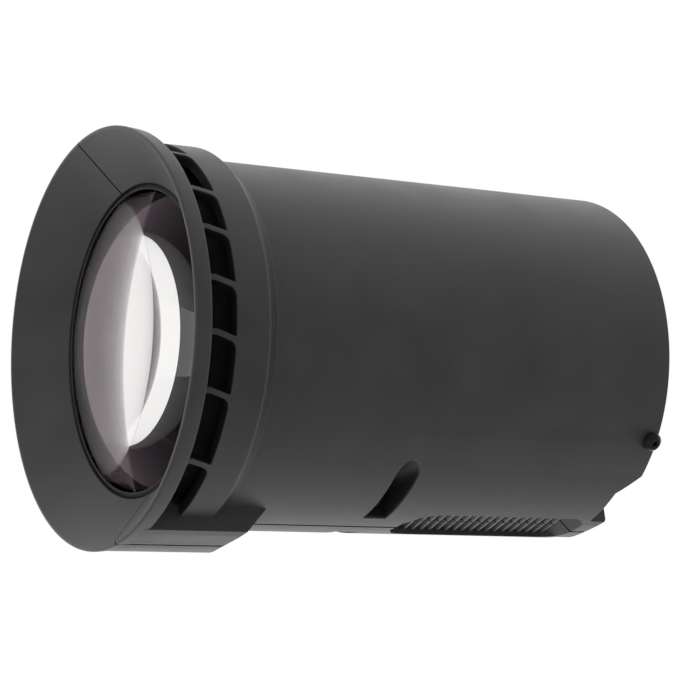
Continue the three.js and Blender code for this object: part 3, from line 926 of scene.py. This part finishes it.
def seam_lines():
    """Shallow shadow groove along the bottom seam, under the block and under the tube."""
    block = rectangle(-LINE_HALF, LINE_HALF, BLOCK_FRONT + 2, BLOCK_FLAT_END)
    tube = rectangle(-LINE_HALF, LINE_HALF, BLOCK_FLAT_END + 6, LENGTH + 1)
    return joined([
        downwards(block, BLOCK_R - LINE_DEPTH, BLOCK_R + 2),
        downwards(tube, TUBE_R - LINE_DEPTH, TUBE_R + 2),
    ])


def tongue():
    return downwards(rectangle(-TONGUE_HALF, TONGUE_HALF, RECESS_BACK - 6, LENGTH), TONGUE_INNER, TUBE_R)


def tongue_chamfer():
    corner = [
        (LENGTH - 3, TUBE_R + 0.2),
        (LENGTH - 1.6, TUBE_R - 0.5),
        (LENGTH - 0.5, TUBE_R - 1.6),
        (LENGTH + 0.2, TUBE_R - 3),
        (LENGTH + 2, TUBE_R + 2),
    ]
    return across_seam(corner, -TONGUE_HALF - 1, TONGUE_HALF + 1)


def rear_notch(side):
    rise = LENGTH + 2 - NOTCH_Z
    outline = rounded([
        (side * TONGUE_HALF, NOTCH_Z, 1.2),
        (side * NOTCH_SIDE, NOTCH_Z, 1.5),
        (side * (NOTCH_SIDE + rise * 1.1), LENGTH + 2),
        (side * TONGUE_HALF, LENGTH + 2),
    ], closed=True)
    return downwards(outline, TUBE_R / 2, TUBE_R + 5)


def baffle_ridges():
    """Two ridges round the inside that hold the baffle between them."""
    z0, z1 = z_range("light_baffle")
    ridges = []
    for z, slope_end in ((z0 - GAP, z0 - GAP - 2.5), (z1 + GAP, z1 + GAP + 2.5)):
        profile = [(INNER_R - 2, z), (INNER_R + 1, z), (INNER_R + 1, slope_end)]
        ridges.append(turned_mesh("ridge", profile, closed=True))
    return joined(ridges)


def whole_shell():
    """Both halves in one piece, before the seam is cut."""
    shell = cut(outer_form(), cooling_ring(CARRIER_R, COLLAR_R - RIB_DEPTH))
    shell = cut(shell, windows())
    shell = add(shell, seam_block())
    shell = cut(shell, inner_space())
    top_z = [centre_of(f"{name}_clamp_washer")[1] for name in TOP_SCREWS]
    housings = [screw_housing(BOTTOM_SCREW_Z, TUBE_R)]
    housings += [to_top(screw_housing(z, TOP_HOUSING)) for z in top_z]
    inside = add(joined(housings), rack_bed())
    inside = add(inside, tongue())
    inside = add(inside, joined([stud_bar(STUD_R + GAP, STUD_BOSS_END, TUBE_R, side) for side in (1, -1)]))
    within = turned_mesh("within", [(0, 30), (TUBE_R - 0.5, 30), (TUBE_R - 0.5, LENGTH), (0, LENGTH)])
    shell = add(shell, common(inside, within))
    shell = add(shell, baffle_ridges())
    pockets = [head_pocket(BOTTOM_SCREW_Z), nut_pocket(BOTTOM_SCREW_Z)]
    for z in top_z:
        pockets += [to_top(head_pocket(z)), to_top(nut_slot(z))]
    shell = cut(shell, joined(pockets))
    holes = [screw_hole(BOTTOM_SCREW_Z)] + [to_top(screw_hole(z)) for z in top_z]
    for node in ("front_dowel", "rear_dowel"):
        _, z, r = centre_of(node)
        holes.append(across_seam(circle_at(z, r, DOWEL_HOLE_R, 32), -DOWEL_HOLE_HALF, DOWEL_HOLE_HALF))
    holes += [stud_bar(STUD_HOLE_R, STUD_HOLE_END, TUBE_R + 1, side) for side in (1, -1)]
    shell = cut(shell, joined(holes))
    shell = cut(shell, rack_recess())
    shell = cut(shell, joined([rear_notch(1), rear_notch(-1)]))
    shell = cut(shell, tongue_chamfer())
    return cut(cut(add(shell, rack_teeth()), seam_pits()), seam_lines())


def slice_of(shell, s0, s1):
    """The part of the shell between two planes along the seam."""
    return common(shell, downwards(rectangle(s0, s1, -10, LENGTH + 10), -REACH, REACH))


def seam_web(shell):
    """Thin web of the left half that closes the seam below its surface: the shell's section, drawn in."""
    section = slice_of(shell, -1, 1)
    web = section.copy()
    for y, z in ((1, 0), (-1, 0), (0, 1), (0, -1)):
        shifted = section.copy()
        shifted.transform(Matrix.Translation(Vector((0, y, z)) * WEB_INSET * MM))
        web = common(web, shifted)
    return slice_of(web, -2 * SEAM_HALF, SEAM_HALF - 0.02)


def make_shells():
    shell = whole_shell()
    right = slice_of(shell.copy(), SEAM_HALF, REACH)
    finish_piece("right_half_shell", right, "shell_right", "shell", SHELL, 32)
    left = add(slice_of(shell.copy(), -REACH, -SEAM_HALF), seam_web(shell.copy()))
    finish_piece("left_half_shell", left, "shell_left", "shell", SHELL, 32)


# ---- optics ----

def spherical_face(radius, sag, z, direction, steps=32):
    """Points from the edge of a spherical face to the axis; sag is how far it bulges."""
    sphere = (radius ** 2 + sag ** 2) / (2 * sag)
    out = []
    for k in range(steps + 1):
        x = radius * math.cos(math.pi / 2 * k / steps)
        rise = math.sqrt(sphere ** 2 - x ** 2) - (sphere - sag)
        out.append((x if k < steps else 0, z + direction * rise))
    return out


def grind_edge(thing, radius):
    """Give the cylindrical edge of a lens the ground finish."""
    thing.data.materials.append(GROUND)
    for face in thing.data.polygons:
        if abs(face.normal.y) < 0.2 and math.hypot(face.center.x, face.center.z) > (radius - 0.3) * MM:
            face.material_index = 1


def make_lenses():
    """Two plano-convex lenses, flat sides towards each other."""
    radius = radius_of("front_lens")
    z0, z1 = z_range("front_lens")
    convex = spherical_face(radius, LENS_SAG, z0 + LENS_SAG, -1)[::-1]
    mesh = turned_mesh("front", convex + [(radius, z1), (0, z1)], LENS_SEGMENTS)
    grind_edge(finish_piece("front_lens_glass", mesh, "front_lens", "lens", GLASS, 40), radius)
    z0, z1 = z_range("rear_lens")
    convex = spherical_face(radius, LENS_SAG, z1 - LENS_SAG, 1)
    mesh = turned_mesh("rear", [(0, z0), (radius, z0)] + convex, LENS_SEGMENTS)
    grind_edge(finish_piece("rear_lens_glass", mesh, "rear_lens", "lens", GLASS, 40), radius)


def gasket_mesh(z0, z1):
    """Gasket from its flange's flat back at z0 to its lip's end at z1, with a thin wiper on the glass."""
    inwards = math.copysign(1, z1 - z0)
    stack = GROOVE_R - GAP
    lip = stack - 1.2
    inner = BORE_R - 0.6
    return turned_mesh("gasket", rounded([
        (WIPER_R, z0 - inwards * 1.55, 0.15),
        (WIPER_R + 0.7, z0 - inwards * 1.95, 0.2),
        (inner, z0 - inwards * 0.8, 0.15),
        (inner + 0.3, z0, 0.15),
        (stack, z0, 0.4),
        (stack, z1, 0.3),
        (lip, z1, 0.3),
        (lip, z0 + inwards * 2.2, 0.2),
        (inner, z0 + inwards * 0.35, 0.15),
    ], closed=True, steps=3), closed=True)


def ring_mesh(node, inner, corner):
    """Plain ring in a node's place, with all four corners rounded."""
    z0, z1 = z_range(node)
    outer = radius_of(node)
    corners = [(inner, z0), (outer, z0), (outer, z1), (inner, z1)]
    outline = rounded([(u, v, corner) for u, v in corners], closed=True, steps=3)
    return turned_mesh(node, outline, closed=True)


def make_rings():
    z0, z1 = z_range("front_lens_gasket")
    finish_piece("front_gasket_ring", gasket_mesh(z0, z1), "front_lens_gasket", "gasket", RUBBER)
    z0, z1 = z_range("rear_lens_gasket")
    finish_piece("rear_gasket_ring", gasket_mesh(z1, z0), "rear_lens_gasket", "gasket", RUBBER)
    for name, node, inner, corner in (
        ("spacer_ring", "lens_spacer", BORE_R, 0.3),
        ("retaining_ring", "lens_retaining_ring", BORE_R - 0.4, 0.5),
        ("baffle_ring", "light_baffle", BAFFLE_R, 0.25),
    ):
        finish_piece(name, ring_mesh(node, inner, corner), node, "anodised", ANODISED)


# ---- fasteners ----

def on_x(profile, segments=48):
    """Body turned about the X axis from (radius, x) points; an outline that starts off the axis is a ring."""
    return turned("turned", profile, segments, profile[0][0] > 0, lambda r, x, s, c: (x, r * c, r * s))


def hexagon(across_flats, x0, x1):
    radius = across_flats / math.sqrt(3)
    corners = [(radius * math.cos(a), radius * math.sin(a)) for a in np.arange(6) * math.pi / 3]
    return prism(corners, x0, x1, lambda u, v, x: (x, u, v))


def screw_mesh(nut_seat):
    """Socket head screw along X, threaded at its tip."""
    head = HEAD_SEAT + WASHER_HEIGHT + 2 * GAP
    top = head + HEAD_HEIGHT
    tip = -nut_seat - GAP - TIP_REACH
    profile = [(0, tip), (SCREW_R - 0.45, tip)]
    x = tip + 0.5
    while x < -nut_seat + THREAD_REACH:
        profile += [(SCREW_R, x), (SCREW_R, x + 0.12), (THREAD_ROOT_R, x + 0.38), (THREAD_ROOT_R, x + 0.45)]
        x += THREAD_PITCH
    profile += [(SCREW_R, x), (SCREW_R, head - 0.2), (2.1, head), (HEAD_R - 0.2, head)]
    crown = [(HEAD_R - 0.2, head), (HEAD_R, head + 0.2, 0.1), (HEAD_R, top, 0.7), (0, top)]
    profile += rounded(crown, steps=5)[1:]
    return cut(on_x(profile), hexagon(HEAD_SOCKET, head + 1.2, head + 4))


def washer_mesh():
    seat = HEAD_SEAT + GAP
    return on_x(rounded([
        (WASHER_HOLE_R, seat, 0.1),
        (WASHER_R, seat, 0.2),
        (WASHER_R, seat + WASHER_HEIGHT, 0.2),
        (WASHER_HOLE_R, seat + WASHER_HEIGHT, 0.1),
    ], closed=True, steps=3))


def nut_mesh(nut_seat):
    """Hexagon nut with turned chamfers on both faces and a countersunk hole."""
    seat = -nut_seat - GAP
    end = seat - NUT_HEIGHT
    limit = on_x([(0, end), (3.4, end), (4.1, end + 0.45), (4.1, seat - 0.45), (3.4, seat), (0, seat)])
    hole = on_x([
        (0, end - 1),
        (3.3, end - 1),
        (2.1, end + 0.4),
        (2.1, seat - 0.4),
        (3.3, seat + 1),
        (0, seat + 1),
    ])
    return cut(common(hexagon(NUT_FLATS, end - 0.01, seat + 0.01), limit), hole)


def moved(mesh, s, z, r):
    mesh.transform(Matrix.Translation(Vector((s, FRONT_Y + z, -r)) * MM))
    return mesh


def make_clamps():
    """Screws, washers and nuts. The top ones point the other way."""
    for name in ("bottom",) + TOP_SCREWS:
        _, z, r = centre_of(f"{name}_clamp_washer")
        nut_seat = NUT_SEAT if name == "bottom" else TOP_NUT_SEAT
        for part, mesh, slot, material in (
            ("screw", screw_mesh(nut_seat), "screw", OXIDE),
            ("washer", washer_mesh(), "washer", ZINC),
            ("nut", nut_mesh(nut_seat), "washer", ZINC),
        ):
            if name != "bottom":
                mesh.transform(Matrix.Rotation(math.pi, 4, "Z"))
            moved(mesh, 0, z, r)
            finish_piece(f"{name}_{part}", mesh, f"{name}_clamp_{part}", slot, material, 35)


def stud_mesh(side):
    """Button-headed guide stud, built along X and turned to its place."""
    seat = TUBE_R + GAP
    crown = [(STUD_R, seat), (STUD_R, STUD_TOP - 1.4, 0.4), (STUD_R - 1.4, STUD_TOP, 1.2), (0, STUD_TOP)]
    tip = [(0, STUD_END), (STUD_SHANK_R - 0.4, STUD_END)]
    shank = [(STUD_SHANK_R, STUD_END + 0.4), (STUD_SHANK_R, seat)]
    body = on_x(tip + shank + rounded(crown, steps=6))
    body = cut(body, hexagon(STUD_SOCKET, STUD_TOP - 2, STUD_TOP + 1))
    angle = math.radians(STUD_ANGLE)
    out = Vector((side * math.sin(angle), 0, -math.cos(angle)))
    turn = Vector((1, 0, 0)).rotation_difference(out).to_matrix().to_4x4()
    body.transform(turn)
    return moved(body, 0, STUD_Z, 0)


def dowel_mesh(node):
    low, high = size_mm(node)
    half = (high[0] - low[0]) / 2
    outline = [(0, -half), (DOWEL_R, -half, 0.4), (DOWEL_R, half, 0.4), (0, half)]
    _, z, r = centre_of(node)
    return moved(on_x(rounded(outline, steps=4)), 0, z, r)


def make_studs_and_dowels():
    for name, side in (("right", 1), ("left", -1)):
        finish_piece(f"{name}_stud", stud_mesh(side), f"{name}_guide_stud", "stud", OXIDE, 35)
    for name in ("front", "rear"):
        finish_piece(f"{name}_pin", dowel_mesh(f"{name}_dowel"), f"{name}_dowel", "washer", ZINC, 35)


make_shells()
make_lenses()
make_rings()
make_clamps()
make_studs_and_dowels()


# ---- stage, light and camera ----

VIEW_AZIMUTH = math.radians(57.35)
VIEW_ELEVATION = math.radians(-17.68)
VIEW_ROLL = math.radians(7.06)
VIEW_DISTANCE = 1.1126
VIEW_TARGET = Vector((0.00128, -0.00166, 0.00619))
VIEW_LENS = 131.24
FLOOR_R = 6000
FLOOR_SIDES = 96


def view_axes():
    """Forward, right and up of the main camera."""
    sa, ca = math.sin(VIEW_AZIMUTH), math.cos(VIEW_AZIMUTH)
    se, ce = math.sin(VIEW_ELEVATION), math.cos(VIEW_ELEVATION)
    back = Vector((sa * ce, -ca * ce, se))
    level = (-back).cross(Vector((0, 0, 1))).normalized()
    upright = level.cross(-back)
    up = upright * math.cos(VIEW_ROLL) + level * math.sin(VIEW_ROLL)
    return -back, (-back).cross(up), up


def make_camera():
    forward, right, up = view_axes()
    data = bpy.data.cameras.new("camera")
    data.lens = VIEW_LENS
    data.sensor_width = 36
    data.clip_end = 50
    camera = bpy.data.objects.new("camera", data)
    bpy.context.scene.collection.objects.link(camera)
    turn = Matrix((right, up, -forward)).transposed()
    place = VIEW_TARGET - forward * VIEW_DISTANCE
    camera.matrix_world = Matrix.Translation(place) @ turn.to_4x4()
    bpy.context.scene.camera = camera


def make_world():
    """White surroundings seen directly and through glass. Surfaces get less light from the camera's side."""
    world = bpy.data.worlds.new("studio")
    bpy.context.scene.world = world
    world.use_nodes = True
    n = Nodes(world.node_tree)
    shade = n.tree.nodes["Background"]
    direction = n.node("TexCoord").outputs["Generated"]
    away = n.node("VectorMath", operation="DOT_PRODUCT")
    away.inputs[1].default_value = view_axes()[0]
    n.link(direction, away.inputs[0])
    split = n.node("SeparateXYZ")
    n.link(direction, split.inputs[0])
    strength = n.spread(away.outputs["Value"], *MATT_LIGHT, -1, 1)
    for axis, sign, extra in (("Z", 1, LIGHT_ABOVE), ("Z", -1, LIGHT_BELOW), ("Y", -1, LIGHT_FRONT)):
        side = n.math("MAXIMUM", n.math("MULTIPLY", split.outputs[axis], sign), 0)
        strength = n.math("ADD", strength, n.math("MULTIPLY", side, extra))
    path = n.node("LightPath")

    def choose(ray, otherwise, value):
        pick = n.node("Mix", data_type="FLOAT")
        n.link(path.outputs[ray], pick.inputs[0])
        n.link(otherwise, pick.inputs[2])
        if isinstance(value, float):
            pick.inputs[3].default_value = value
        else:
            n.link(value, pick.inputs[3])
        return pick.outputs[0]

    shiny = n.spread(away.outputs["Value"], *SHINY_LIGHT, *SHINY_RANGE)
    strength = choose("Is Glossy Ray", strength, shiny)
    strength = choose("Is Transmission Ray", strength, 1.0)
    strength = choose("Is Camera Ray", strength, 1.0)
    n.link(strength, shade.inputs["Strength"])
    shade.inputs["Color"].default_value = (1, 1, 1, 1)


def make_floor():
    """Pale floor under the part. It only shows from above, and lets every other ray through."""
    level = CAD_BOX[0][2] / MM
    outline = [(x, y, level) for x, y in circle_at(0, 0, FLOOR_R, FLOOR_SIDES)]
    floor = new_object("floor", mesh_from("floor", outline, [tuple(range(FLOOR_SIDES))]))
    n = Material("pale_floor")
    paint = n.node("BsdfDiffuse")
    paint.inputs["Color"].default_value = (*FLOOR_PAINT, 1)
    open_air = n.node("BsdfTransparent")
    incoming = n.node("SeparateXYZ")
    n.link(n.node("NewGeometry").outputs["Incoming"], incoming.inputs[0])
    from_above = n.math("GREATER_THAN", incoming.outputs["Z"], 0)
    shown = n.math("MULTIPLY", from_above, n.node("LightPath").outputs["Is Camera Ray"])
    mix = n.shader_mix(shown, open_air, paint)
    n.link(mix.outputs[0], n.output.inputs[0])
    floor.data.materials.append(n.material)


make_world()
make_floor()
make_camera()
bpy.context.scene.view_settings.view_transform = "Standard"
